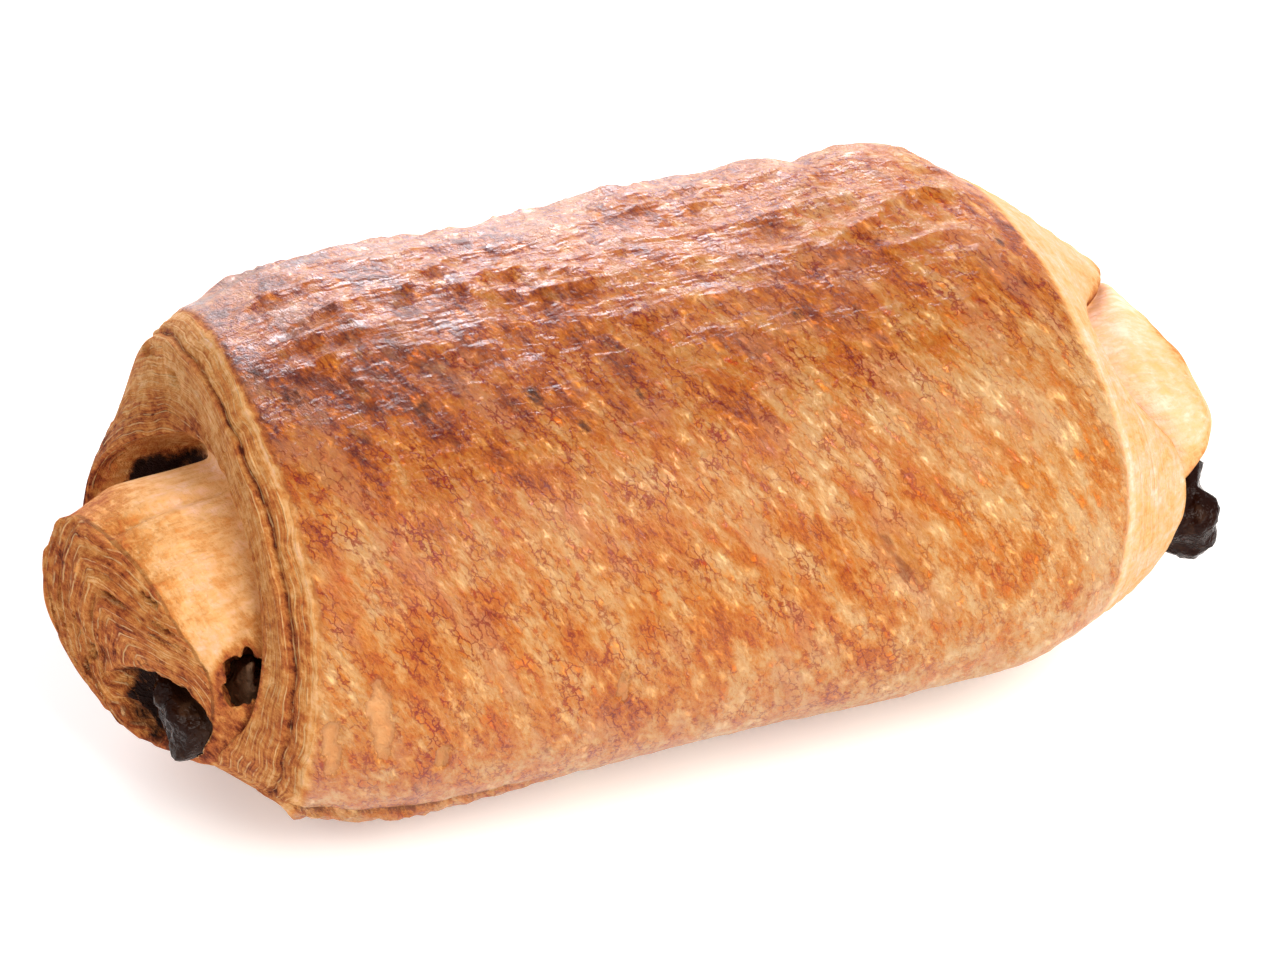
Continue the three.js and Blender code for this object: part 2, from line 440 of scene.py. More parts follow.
GROOVE = 3.1  # mm from the rim, where the band's outer layers have come away from the rest
MEAN_RADIUS = 25  # mm, of the left band
left_band = inside("left band")
left_depth = from_left_rim + 0.5 * grain(surface, 6, 2, 8)
height += left_band * 0.2 * terrace(left_depth, 0.95, 0.2) * (1 - smoothstep(left_depth, 2.2, 3))
height -= left_band * 0.5 * hill(left_depth, GROOVE, 0.4)
height += left_band * 0.3 * terrace(left_depth, 1.7, 0.22) * smoothstep(left_depth, 7.5, 9.5)
arc = np.radians(DEGREES) * MEAN_RADIUS
flow = np.stack([from_left_rim, arc / 5, np.zeros(arc.shape)], axis=-1)
pits = left_band * smoothstep(grain(flow, (1.1, 0.7, 1), 1, 9), 0.28, 0.5)
height -= 0.8 * pits * hill(left_depth, 6.5, 3) * smoothstep(DEGREES, 60, 80)
height += crust * 0.25 * hill(from_left_rim, -0.6, 0.9)

right_band = inside("right band")
right_depth = from_right_rim + 0.4 * grain(surface, 7, 2, 10)
height += right_band * 0.14 * terrace(right_depth, 1.5, 0.22)
height += crust * 0.15 * hill(from_right_rim, -0.5, 0.8)
print("pits:", round(100 * pits.sum() / left_band.sum()), "% of the left cut edge")

# %% [markdown]
# ## The browned end of the inner roll
# Its layers wind round the front stick and come to a point where the rolled sheet folds over. That
# makes nested arches: the distance from the stick, drawn in a little towards the fold.

# %% Arches on the left face
FOLD = 44  # the way from the stick to the fold, in degrees up from the horizontal
ARCH_YZ = np.array([-14, 19])  # what the arches nest round
left_face = inside("left face")
away = surface[..., 1:] - ARCH_YZ
turn = np.degrees(np.arctan2(away[..., 1], away[..., 0])) - FOLD
turn = np.abs((turn + 180) % 360 - 180)
arch = np.hypot(away[..., 0], away[..., 1]) * (0.72 + 0.28 * np.minimum(turn / 42, 1))
arch = arch + 0.5 * grain(surface, 7, 2, 11)
height += left_face * 0.42 * terrace(arch, 1.75, 0.2) * smoothstep(arch, 6, 8)
height += left_face * 0.9 * hill(turn, 0, 22) * smoothstep(arch, 4, 12)
along_arch = np.stack([arch, turn / 22, 0 * turn], axis=-1)
slits = smoothstep(grain(along_arch, (0.8, 1.2, 1), 1, 12), 0.3, 0.5)
height -= left_face * 0.9 * slits * smoothstep(arch, 6, 9)
print("arches out to", arch[zone == "left face"].max().round(1), "mm from the stick")

# %% Where the front stick comes out, and the rest of the two ends
MELT_Y, MELT_Z = -13, 15.2  # the middle of the melted end of the front stick
stick_distance = np.hypot(surface[..., 1] - MELT_Y, surface[..., 2] - MELT_Z)
dent = 1 - smoothstep(stick_distance + 0.8 * grain(surface, 3, 2, 16), 4, 7)
height -= left_face * 3.4 * dent

left_side = inside("left side")
height -= left_side * 0.8 * hill(from_angle(88), 0, 3) * (1 - smoothstep(X, -46, -43))
height += left_side * 0.25 * grain(surface, (9, 2.2, 2.2), 2, 13)
height += inside("left wall", "left gap", "right gap") * 0.35 * grain(surface, (3, 5, 5), 2, 14)
height += inside("right side", "right face") * 0.35 * grain(surface, 5, 2, 15)
print("the stick comes out over", int((dent > 0.5)[zone == "left face"].sum()), "points")

# %% Raise the sheet by its heights
tips = np.ones((ROWS, 1))
tips[[0, 1, 2, -3, -2, -1]] = [[0], [0.3], [0.7], [0.7], [0.3], [0]]
normals = outward(surface)
height[:, -1] = height[:, 0]
raised_surface = surface + normals * (height * raised * tips)[..., None]
raised_surface[..., 2] = np.maximum(raised_surface[..., 2], 0)
print("heights from", height.min().round(2), "to", height.max().round(2), "mm")

# %% [markdown]
# ## Baking
# Heat browns what stands out and faces up, egg wash turns glossy amber, and bare dough only
# toasts from cream to fawn. Each vertex stores how far it is baked, with painted shade added in the
# groove of the left cut edge, whether it is glazed, where it lies across the layers, and where
# chocolate, scorching or painted shade darkens it.

# %% How far the crust is baked
def spread(amount, *zones):
    """A value, given as for a ring, over some zones, and 0 elsewhere."""
    return inside(*zones) * round_roll(amount)


bake_and_shade = spread({300: 0.33, 330: 0.41, 0: 0.45, 20: 0.43, 40: 0.43, 55: 0.53, 70: 0.66, 90: 0.66,
               120: 0.62, 150: 0.55, 180: 0.48, 210: 0.4, 240: 0.32, 270: 0.4}, "crust")
mottle = 0.11 * grain(surface, (9, 16, 16), 2, 20)
bake_and_shade += crust * (mottle - X * 0.0012 - 0.12 * smoothstep(X, 15, 40))
bake_and_shade += crust * 0.1 * near_left * smoothstep(DEGREES, 52, 72)
near_right = hill(from_right_rim, -2, 5) * smoothstep(DEGREES, 40, 75)
bake_and_shade += crust * 0.16 * near_right * (1 - smoothstep(DEGREES, 120, 150))
print("crust baked to", bake_and_shade[zone == "crust"].mean().round(2), "on average")

# %% How far the cut edges and the inner roll are baked, with painted shade in one groove
bake_and_shade += spread({30: 0.62, 75: 0.5, 130: 0.5, 180: 0.6, 270: 0.6}, "left band")
bake_and_shade += left_band * 0.2 * smoothstep(left_depth, 8, 13)
bake_and_shade -= left_band * 0.3 * hill(from_left_rim, 0.6, 0.4)
# Painted shade: the groove, 3.1 mm in from the rim, is painted browner for the shadow in it.
bake_and_shade += left_band * 0.25 * hill(left_depth, GROOVE, 0.4)
bake_and_shade += left_face * (0.68 - 0.1 * smoothstep(arch, 14, 19))
bake_and_shade += spread({60: 0.3, 100: 0.28, 125: 0.4, 150: 0.56}, "left wall")
bake_and_shade += left_side * (0.32 + 0.3 * smoothstep(-X, 51, 57)) + spread(0.25, "left gap")
bake_and_shade += left_side * 0.35 * hill(DEGREES, 12, 26) * (1 - smoothstep(-X, 46, 50))
bake_and_shade += left_side * 0.45 * (1 - smoothstep(DEGREES, 0, 20))
bake_and_shade -= right_band * 0.2 * hill(from_right_rim, 0.5, 0.5)
bake_and_shade += spread(0.24, "right band") + spread(0.16, "right side") + spread(0.75, "right gap")
bake_and_shade += inside("right face") * (0.2 + 0.4 * hill(X, 55.5, 1.6))
low_front = hill(from_angle(352), 0, 24)
bake_and_shade += inside("right face", "right side") * 0.6 * low_front * smoothstep(X, 52, 55)
print("bake from", bake_and_shade.min().round(2), "to", bake_and_shade.max().round(2))

# %% [markdown]
# Chocolate stains the dough round the sticks, and a few spots of the crust, where a blister came
# close to the heat, are scorched. The same field also holds painted shade: the deep end of the gap
# behind the left lip is painted near black, and the seam and the slits on the left face are painted
# darker, for the shadow that falls into them.

# %% Stains, scorched spots and painted shade
stain_and_shade = left_face * (1 - smoothstep(stick_distance + 0.8 * grain(surface, 3, 2, 17), 4.6, 6.9))
stain_and_shade += inside("right face") * (1 - smoothstep(stick_distance, 5.5, 8.5))
# Painted shade: the back of the gap behind the left lip, which lies in shadow, is painted near
# black.
lip_row = np.flatnonzero(zone == "left wall")[-1]
from_lip = walked[lip_row] - walked
gap_start = np.interp(DEGREES, (124, 134, 150, 165), (7, 4.8, 3.2, 1.8))  # mm down from the lip
gap_painted_shade = inside("left gap", "left wall") * smoothstep(from_lip - gap_start, 0, 1)
gap_painted_shade = gap_painted_shade * smoothstep(DEGREES, 160, 174) * (1 - smoothstep(DEGREES, 190, 220))
ragged = 0.5 * grain(surface, 1.6, 3, 18)
# Where along the roll, at what angle, and how wide.
for x, degrees, width in ((-14.7, 66, 1), (-11, 58, 0.8), (-26, 69, 0.8), (-38, 78, 1.1),
                          (-40.5, 88, 0.9), (14, 71, 0.7), (-4.5, 62, 0.6), (38, 80, 0.7)):
    from_spot = np.hypot((X - x) / width, from_angle(degrees) / (2.6 * width))
    stain_and_shade += crust * 0.58 * (1 - smoothstep(from_spot + ragged, 0.5, 1.3))
# Painted shade: the seam, the slits of the left face and the back of the gap are darkened here too.
stain_and_shade = np.clip(stain_and_shade + 0.8 * seam + 0.5 * slits * left_face + gap_painted_shade, 0, 1)
print("stained:", round(100 * stain_and_shade.mean(), 1), "% of the sheet")

# %% Fields for the material
glazed = smoothstep(-from_left_rim, -0.1, 0.5) * smoothstep(-from_right_rim, -0.1, 0.5)
fields = {
    "bake_and_shade": np.clip(bake_and_shade, 0, 1),
    "glaze": glazed * (1 - torn) * (1 - 0.8 * stain_and_shade),
    "layer": np.where(left_face > 0.5, arch, np.where(X < 0, left_depth, right_depth)),
    "strata": np.clip(left_face + left_band + 0.5 * right_band, 0, 1),
    "stain_and_shade": stain_and_shade,
    "torn": torn,
}
print("fields:", ", ".join(fields))

# %% [markdown]
# ## From rows to a mesh
# A flat grid with as many rows and columns as the sheet is added once, and every vertex is moved to
# its place on the roll. Merging by distance then closes the seam under the base and the two tips.

# %% Roll up the grid
def clear_selection():
    """Objects come in selected, and an operator acts on all that is selected."""
    if bpy.context.object and bpy.context.object.mode != "OBJECT":
        bpy.ops.object.mode_set(mode="OBJECT")
    bpy.ops.object.select_all(action="DESELECT")


def read_points(mesh):
    """The places of a mesh's vertices."""
    flat = np.empty(len(mesh.vertices) * 3)
    mesh.vertices.foreach_get("co", flat)
    return flat.reshape(-1, 3)


def write_points(mesh, points):
    """Moves a mesh's vertices to places in mm."""
    mesh.vertices.foreach_set("co", (points * MM).ravel())


def store(mesh, name, values):
    """A value for each vertex that the material can read by name."""
    attribute = mesh.attributes.new(name, "FLOAT", "POINT")
    attribute.data.foreach_set("value", np.asarray(values, dtype=np.float32).ravel())


clear_selection()
bpy.ops.mesh.primitive_grid_add(x_subdivisions=ROWS - 1, y_subdivisions=COLUMNS, size=1)
pastry = bpy.context.object
pastry.name = pastry.data.name = "rolled_dough"
place = read_points(pastry.data)
row = np.rint((place[:, 0] + 0.5) * (ROWS - 1)).astype(int)
column = np.rint((place[:, 1] + 0.5) * COLUMNS).astype(int)
write_points(pastry.data, raised_surface[row, column])
for name, values in fields.items():
    store(pastry.data, name, values[row, column])
bpy.ops.object.mode_set(mode="EDIT")
bpy.ops.mesh.select_all(action="SELECT")
bpy.ops.mesh.remove_doubles(threshold=1e-6)
bpy.ops.mesh.normals_make_consistent(inside=False)
bpy.ops.object.mode_set(mode="OBJECT")
print("rolled up:", len(pastry.data.vertices), "vertices")

# %% [markdown]
# ## The chocolate sticks
# Baton chocolate keeps its shape in the oven, but its ends melt, swell and set again as lumps. Each
# stick is a bevelled bar, remeshed into even small faces, and its ends are pushed about by noise.

# %% A stick as a bar of even faces
STICK_WIDTH = 9  # mm, as are the next three
STICK_THICKNESS = 6.5
STICK_CORNER = 2
FACE_SIZE = 0.5


def even_bar(name, length):
    """A bevelled bar about the origin, remeshed into even faces."""
    clear_selection()
    bpy.ops.mesh.primitive_cube_add(size=1)
    bar = bpy.context.object
    bar.name = bar.data.name = name
    bpy.ops.object.mode_set(mode="EDIT")
    bpy.ops.transform.resize(value=(length * MM, STICK_WIDTH * MM, STICK_THICKNESS * MM))
    bpy.ops.mesh.bevel(offset=STICK_CORNER * MM, segments=3, affect="EDGES")
    bpy.ops.object.mode_set(mode="OBJECT")
    even = bar.modifiers.new("even faces", "REMESH")
    even.mode = "VOXEL"
    even.voxel_size = FACE_SIZE * MM
    bpy.ops.object.modifier_apply(modifier=even.name)
    return bar


# %% [markdown]
# The bar is turned by its tilt and moved to its place. Then its right end sags and swells, both
# ends grow lumps, and the front stick rises into the hollow above it, where a bloom dulls it.

# %% Sticks
TILT = {"chocolate_stick_front": 20, "chocolate_stick_back": -10}
TO_HOLLOW = np.array([0, -0.555, 0.832])  # from the front stick up and forwards
RISE_X = -46.6  # where it rises


def stick(name, node, first, last, droop, swell, rise):
    """A melted bar in a stick's place, reaching from first to last along the roll, in mm."""
    low, high = (np.array(corner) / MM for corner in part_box(node))
    middle = (low + high) / 2
    bar = even_bar(name, last - first)
    points = read_points(bar.data) / MM
    tilt = np.radians(TILT[node])
    across = points[:, 1] * np.cos(tilt) - points[:, 2] * np.sin(tilt)
    up = points[:, 1] * np.sin(tilt) + points[:, 2] * np.cos(tilt)
    along = points[:, 0] + (first + last) / 2
    melted = smoothstep(along, last - 9, last - 2)
    points = np.stack([along, middle[1] + across * (1 + swell * melted),
                       middle[2] + up * (1 + 1.6 * swell * melted) - droop * melted], axis=-1)
    direction = np.stack([points[:, 0] * 0, across, up], axis=-1)
    direction /= np.linalg.norm(direction, axis=-1, keepdims=True) + 0.5
    ends = 0.25 + melted + (1 - smoothstep(along, first + 1, first + 6))
    lumps = (grain(points, 3.2, 3, 30) * 0.7 + grain(points, 1.4, 2, 32) * 0.2) * ends
    points += direction * lumps[:, None]
    facing = np.maximum(direction @ TO_HOLLOW, 0) ** 2
    risen = rise * hill(along, RISE_X, 2.2) * facing
    points += TO_HOLLOW * (risen * (1 + 0.5 * grain(points, 1.3, 3, 33)))[:, None]
    store(bar.data, "bloom", hill(along, -47, 3.5) * (facing > 0))
    points[:, 0] += np.sign(along) * 1.1 * grain(points, 3, 3, 31) * (ends > 0.6)
    write_points(bar.data, points)
    bpy.ops.object.shade_smooth()
    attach(bar, "root")
    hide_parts(node)
    print(name, len(bar.data.polygons), "faces")
    return bar


front_stick = stick("front_baton", "chocolate_stick_front", -54.8, 59.5, 2.5, 0.16, 9.5)
back_stick = stick("back_baton", "chocolate_stick_back", -50, 61, 0, -0.15, 0)

# %% [markdown]
# ## Letting the chocolate in
# The dough closed round the sticks while they were soft, so it fits every lump. A slightly fatter
# copy of each stick is cut out of it. Steam also left a hollow above the front stick at the left
# end, through which the chocolate shows.

# %% Cutters
TUNNEL_GAP = 0.12  # mm between a stick and the dough
TUNNEL_DETAIL = 0.3  # of a stick's faces, enough for walls that are hardly seen
HOLLOW = np.array([-47.3, -18.2, 23.8])
HOLLOW_SIZE = np.array([2.5, 3.5, 5.2])  # across, up and deep, half of each
hollow_side = np.array([np.cos(AZIMUTH), np.sin(AZIMUTH), 0])
HOLLOW_AXES = np.array([hollow_side, np.cross(backwards, hollow_side), backwards])


def take(piece):
    """Selects one piece and makes it the one that operators act on."""
    clear_selection()
    piece.select_set(True)
    bpy.context.view_layer.objects.active = piece


def fattened(bar):
    """A copy of a stick with fewer faces, grown by the gap on every side."""
    take(bar)
    bpy.ops.object.duplicate()
    copy = bpy.context.object
    bpy.ops.object.mode_set(mode="EDIT")
    bpy.ops.mesh.select_all(action="SELECT")
    bpy.ops.transform.shrink_fatten(value=TUNNEL_GAP * MM)
    bpy.ops.object.mode_set(mode="OBJECT")
    coarser = copy.modifiers.new("coarser", "DECIMATE")
    coarser.ratio = TUNNEL_DETAIL
    bpy.ops.object.modifier_apply(modifier=coarser.name)
    return copy


def hollow_cutter():
    """A lumpy ellipsoid, slanting down through the inner roll to the front stick."""
    clear_selection()
    bpy.ops.mesh.primitive_ico_sphere_add(subdivisions=5, radius=1)
    cutter = bpy.context.object
    points = read_points(cutter.data)
    points = points * (1 + 0.35 * grain(points, 0.7, 2, 40))[:, None]
    write_points(cutter.data, HOLLOW + (points * HOLLOW_SIZE) @ HOLLOW_AXES)
    return cutter


cutters = (fattened(front_stick), fattened(back_stick), hollow_cutter())
print("cutters of", [len(cutter.data.polygons) for cutter in cutters], "faces")

# %% [markdown]
# A boolean gives the new walls the cutter's own fields, so each cutter carries them first: browned,
# bare and unstained. Round the hollow's mouth the fields are eased towards the same values.

# %% Cut the tunnels and the hollow
BROWNED = {"bake_and_shade": 0.75, "glaze": 0, "strata": 0, "torn": 0}


def cut(piece, cutter):
    """Takes a cutter's shape out of a piece, and removes the cutter."""
    take(piece)
    boolean = piece.modifiers.new("cut", "BOOLEAN")
    boolean.operation = "DIFFERENCE"
    boolean.solver = "MANIFOLD"
    boolean.object = cutter
    bpy.ops.object.modifier_apply(modifier=boolean.name)
    bpy.data.objects.remove(cutter)
    print("cut, now", len(piece.data.polygons), "faces")


for cutter in cutters:
    for name in fields:
        store(cutter.data, name, np.full(len(cutter.data.vertices), BROWNED.get(name, 0)))
    cut(pastry, cutter)
from_hollow = (read_points(pastry.data) / MM - HOLLOW) @ HOLLOW_AXES.T
in_hollow = 1 - smoothstep(np.linalg.norm(from_hollow / HOLLOW_SIZE, axis=1), 1.05, 1.5)
for name, goal in BROWNED.items():
    values = np.empty(len(pastry.data.vertices))
    pastry.data.attributes[name].data.foreach_get("value", values)
    values += (goal - values) * in_hollow
    pastry.data.attributes[name].data.foreach_set("value", values)
print("browned round the hollow:", int((in_hollow > 0).sum()), "vertices")

# %% The dough is done
take(pastry)
bpy.ops.object.shade_smooth()
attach(pastry, "root")
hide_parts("pastry")
triangles = sum(len(polygon.vertices) - 2 for polygon in pastry.data.polygons)
print("pastry", triangles, "triangles")

# %% [markdown]
# ## Helpers for materials
# Colours are written as the eye reads them, in sRGB hex, and one function turns them linear. One
# more adds a node with its settings and links, and gives back its outputs. Patterns read the
# object's own metres, so a noise that should be 2 mm across has a scale of 1 / (2 * MM).

# %% Material helpers
def linear(colour):
    """An sRGB hex colour as linear RGBA."""
    parts = [int(colour[i:i + 2], 16) / 255 for i in (1, 3, 5)]
    return [((p + 0.055) / 1.055) ** 2.4 if p > 0.04045 else p / 12.92 for p in parts] + [1]


def start_material(name):
    """A material with an empty node tree."""
    material = bpy.data.materials.new(name)
    material.use_nodes = True
    material.node_tree.nodes.clear()
    return material


def add(material, kind, inputs=None, stops=None, **settings):
    """Adds a node and gives back its outputs.

    inputs are values, or other nodes' outputs, by name or number. stops are a ramp's colours.
    """
    node = material.node_tree.nodes.new("ShaderNode" + kind)
    for name, value in settings.items():
        setattr(node, name, value)
    for socket, value in (inputs or {}).items():
        if isinstance(value, bpy.types.NodeSocket):
            material.node_tree.links.new(value, node.inputs[socket])
        else:
            node.inputs[socket].default_value = value
    if stops:
        elements = node.color_ramp.elements
        while len(elements) < len(stops):
            elements.new(0.5)
        for element, (position, colour) in zip(elements, stops):
            element.position = position
            element.color = linear(colour)
    return node.outputs


print("egg wash amber is", np.round(linear("#e28a32")[:3], 2), "when linear")

# %% [markdown]
# ## Baked laminated dough
# Two doughs share one surface. The crust was brushed with egg, which browns to a translucent amber
# glaze, thin and glossy, over a skin that crazed into scales. The cut edges were never glazed: dry,
# matt, from cream to fawn, and streaked by their layers. The stored fields say which is where.
#
# The patterns of the crust are drawn out round the roll and slant with the rolling, so they read
# coordinates that are leant over and then squeezed. The fibres of the bare dough run along it.

# %% Dough: what its nodes read
ROUND_IT = 0.46  # how much slower the crust's patterns change round the roll than along it
ALONG_IT = 0.4  # and how much slower the bare dough's fibres change along it
dough = start_material("egg-washed laminated dough")
here = add(dough, "TexCoord")["Object"]
stored = {name: add(dough, "Attribute", attribute_name=name)["Fac"] for name in fields}
apart = add(dough, "SeparateXYZ", {"Vector": here})
leant = add(dough, "VectorMath", {0: here, 1: (1, LEAN, LEAN)}, operation="DOT_PRODUCT")["Value"]
turned = add(dough, "CombineXYZ", {"X": leant, "Y": apart["Y"], "Z": apart["Z"]})[0]
round_it = add(dough, "VectorMath", {0: turned, 1: (1, ROUND_IT, ROUND_IT)},
               operation="MULTIPLY")[0]
fibrous = add(dough, "VectorMath", {0: here, 1: (ALONG_IT, 1, 1)}, operation="MULTIPLY")[0]
print("the dough reads", sorted(stored))

# %% [markdown]
# Every blotch, scale and fibre is a mask: a cloud of noise of a real size, cut softly between a
# low value, where the mask is 0, and a high one, where it reaches its full amount.

# %% Dough: soft masks
# Name, coordinates, size in mm, detail and roughness of the noise, low, high and full amount.
masks = {}
for name, coords, size, detail, roughness, low, high, full in (
        ("mottle", round_it, 3.6, 5, 0.65, 0.32, 0.68, 1),
        ("scales", round_it, 1, 5, 0.8, 0.34, 0.66, 1),
        ("salmon", round_it, 6, 4, 0.65, 0.54, 0.62, 0.42),
        ("golden", round_it, 2.6, 4, 0.65, 0.57, 0.68, 0.5),
        ("pale", round_it, 1.3, 5, 0.75, 0.57, 0.7, 0.45),
        ("scorched", round_it, 5, 3, 0.6, 0.68, 0.74, 0.6),
        ("cracked", round_it, 2, 4, 0.7, 0.42, 0.62, 1),
        ("broken", here, 1.6, 3, 0.5, 0.4, 0.6, 1),
        ("toasted", here, 4, 4, 0.5, 0.3, 0.7, 1),
        ("fibre", fibrous, 0.9, 4, 0.65, 0.3, 0.7, 1)):
    cloud = add(dough, "TexNoise", {
        "Vector": coords, "Scale": 1 / (size * MM), "Detail": detail, "Roughness": roughness})
    masks[name] = add(dough, "MapRange", {
        "Value": cloud["Fac"], "From Min": low, "From Max": high, "To Max": full},
        interpolation_type="SMOOTHSTEP")["Result"]
print("masks:", ", ".join(masks))

# %% [markdown]
# ### The glaze
# Egg wash is straw yellow where it is thin and pale, amber where it browned and nearly chestnut
# where it caught. One ramp holds that range, read by how far the crust is baked, and the mottle
# and the scales push it up and down. Patches of other tones go over it, each by its own mask.

# %% Dough: the browned glaze
browning = stored["bake_and_shade"]
for field, share in ((masks["mottle"], 0.42), (masks["scales"], 0.34), (1, -0.36)):
    browning = add(dough, "Math", {0: field, 1: share, 2: browning}, operation="MULTIPLY_ADD")[0]
glaze = add(dough, "ValToRGB", {"Fac": browning}, [
    (0.08, "#efbe84"), (0.3, "#e9a660"), (0.48, "#e28a32"), (0.64, "#d9700e"),
    (0.8, "#b8520a"), (1, "#7c2c08")])["Color"]
for name, tone in (("salmon", "#de9260"), ("golden", "#d27c12"), ("pale", "#efba88")):
    glaze = add(dough, "Mix", {0: masks[name], 6: glaze, 7: linear(tone)}, data_type="RGBA")[2]
print("glazed with", len(dough.node_tree.nodes), "nodes")

# %% [markdown]
# The skin under the glaze crazes as the crumb below it swells. The cracks are the borders of
# Voronoi cells, bent by noise so that they wander, and broken up where the skin held. They are
# drawn wider than the real hairlines, which would be too fine to show.

# %% Dough: cracks in the glaze
SCALE_MM = 0.9  # across one scale of the crazed skin
WANDER_MM = 1.2
wander = add(dough, "TexNoise", {
    "Vector": here, "Scale": 1 / (SCALE_MM * MM), "Detail": 3})["Color"]
bent = add(dough, "VectorMath", {0: wander, 1: [WANDER_MM * MM] * 3, 2: round_it},
           operation="MULTIPLY_ADD")[0]
cells = add(dough, "TexVoronoi", {"Vector": bent, "Scale": 1 / (SCALE_MM * MM)},
            feature="DISTANCE_TO_EDGE")
crack = add(dough, "MapRange", {
    "Value": cells["Distance"], "From Min": 0.11, "From Max": 0.03},
    interpolation_type="SMOOTHSTEP")["Result"]
crazed = add(dough, "MapRange", {
    "Value": stored["bake_and_shade"], "From Min": 0.25, "From Max": 0.5, "To Min": 0.35})["Result"]
for factor in (masks["cracked"], crazed, stored["glaze"]):
    crack = add(dough, "Math", {0: crack, 1: factor}, operation="MULTIPLY")[0]
glaze = add(dough, "Mix", {0: crack, 6: glaze, 7: linear("#c47244")},
            data_type="RGBA", blend_type="MULTIPLY")[2]
glaze = add(dough, "Mix", {0: masks["scorched"], 6: glaze, 7: linear("#94461c")},
            data_type="RGBA")[2]
print("crazed into scales", SCALE_MM, "mm across")

# %% [markdown]
# ### The bare dough
# A cut edge shows thin pale layers of set dough at even distances from the rim, with darker,
# drier dough in streaks between them. Both follow the stored layer distance. The streaks are
# noise that changes quickly across the layers and slowly along them.

# %% Dough: layers on the cut edges
LAYERS_PER_MM = 1.1
STREAKS_PER_MM = 4
STREAK_MM = 12.5  # the length of a streak
DRIFT_MM = 1.2  # how far the layers wander
drift = add(dough, "TexNoise", {"Vector": here, "Scale": 1 / (5 * MM), "Detail": 3})["Fac"]
depth = add(dough, "Math", {0: drift, 1: DRIFT_MM, 2: stored["layer"]},
            operation="MULTIPLY_ADD")[0]
counted = add(dough, "Math", {0: depth, 1: LAYERS_PER_MM}, operation="MULTIPLY")[0]
phase = add(dough, "Math", {0: counted, 1: 0.5}, operation="PINGPONG")[0]
layers = add(dough, "MapRange", {"Value": phase, "From Min": 0.11, "From Max": 0.04},
             interpolation_type="SMOOTHSTEP")["Result"]
for factor in (masks["broken"], stored["strata"]):
    layers = add(dough, "Math", {0: layers, 1: factor}, operation="MULTIPLY")[0]
across = add(dough, "Math", {0: depth, 1: STREAKS_PER_MM}, operation="MULTIPLY")[0]
across = add(dough, "CombineXYZ", {"X": across})[0]
drawn_out = add(dough, "VectorMath", {0: here, 1: [1 / (STREAK_MM * MM)] * 3, 2: across},
                operation="MULTIPLY_ADD")[0]
streaks = add(dough, "TexNoise", {
    "Vector": drawn_out, "Scale": 1, "Detail": 4, "Roughness": 0.65})["Fac"]
streaks = add(dough, "MapRange", {
    "Value": streaks, "From Min": 0.3, "From Max": 0.7, "To Min": -0.5, "To Max": 0.5})["Result"]
streaks = add(dough, "Math", {0: streaks, 1: stored["strata"]}, operation="MULTIPLY")[0]
print("layers", round(1 / LAYERS_PER_MM, 2), "mm apart")

# %% Dough: the toasted bare dough
CRUMB = 0.225  # how far the open crumb changes the toasting, either way
crumb = add(dough, "MapRange", {
    "Value": masks["scales"], "To Min": -CRUMB, "To Max": CRUMB})["Result"]
crumb = add(dough, "Math", {0: crumb, 1: stored["bake_and_shade"]}, operation="MULTIPLY")[0]
toasting = stored["bake_and_shade"]
for field, share in ((streaks, 0.36), (masks["fibre"], 0.2), (masks["toasted"], 0.16),
                     (crumb, 1), (1, -0.18)):
    toasting = add(dough, "Math", {0: field, 1: share, 2: toasting}, operation="MULTIPLY_ADD")[0]
bare = add(dough, "ValToRGB", {"Fac": toasting}, [
    (0, "#f2ccb4"), (0.16, "#edb993"), (0.34, "#e5ac70"), (0.52, "#d38b48"),
    (0.7, "#bd6a34"), (0.86, "#964825"), (1, "#5c2513")])["Color"]
shown = add(dough, "Math", {0: layers, 1: 0.75}, operation="MULTIPLY")[0]
bare = add(dough, "Mix", {0: shown, 6: bare, 7: linear("#efbf86")}, data_type="RGBA")[2]
print("bare dough made, now", len(dough.node_tree.nodes), "nodes")

# %% [markdown]
# ### One colour
# The glaze lies over the bare dough where the field says so. A burst blister has a browned rim and
# a paler layer inside, and scorching, smeared chocolate and painted shade in the gap, seam and
# slits darken the dough from brown to black. The scales roughen the outline of each.

# %% Dough: glaze over bare dough, torn, stained and painted with shade
colour = add(dough, "Mix", {0: stored["glaze"], 6: bare, 7: glaze}, data_type="RGBA")[2]
ragged = {}
for name in ("torn", "stain_and_shade"):
    ragged[name] = add(dough, "Math", {0: masks["scales"], 1: 0.5, 2: stored[name]},
                       operation="MULTIPLY_ADD")[0]
# Painted shade: the stain tones also darken the back of the left gap, the seam and the slits.
# Field, where the tone starts and where it is full, how much of it, and the tone.
for name, start, full, share, tone in (
        ("torn", 0.5, 0.58, 0.45, "#a95a26"),
        ("torn", 0.7, 0.8, 0.4, "#e2ab78"),
        ("stain_and_shade", 0.5, 0.7, 0.7, "#7a3513"),
        ("stain_and_shade", 0.75, 1.1, 1, "#210c06")):
    amount = add(dough, "MapRange", {
        "Value": ragged[name], "From Min": start, "From Max": full, "To Max": share})["Result"]
    colour = add(dough, "Mix", {0: amount, 6: colour, 7: linear(tone)}, data_type="RGBA")[2]
print("coloured, now", len(dough.node_tree.nodes), "nodes")

# %% [markdown]
# ### Relief
# Heights too fine for the mesh are bump, in millimetres. The crust has its scales, its cracks and,
# along the top, sharp little folds. The cut edges have their layers and fibres. The glaze is a film
# that fills the scales, so its own bump keeps little more than the folds.

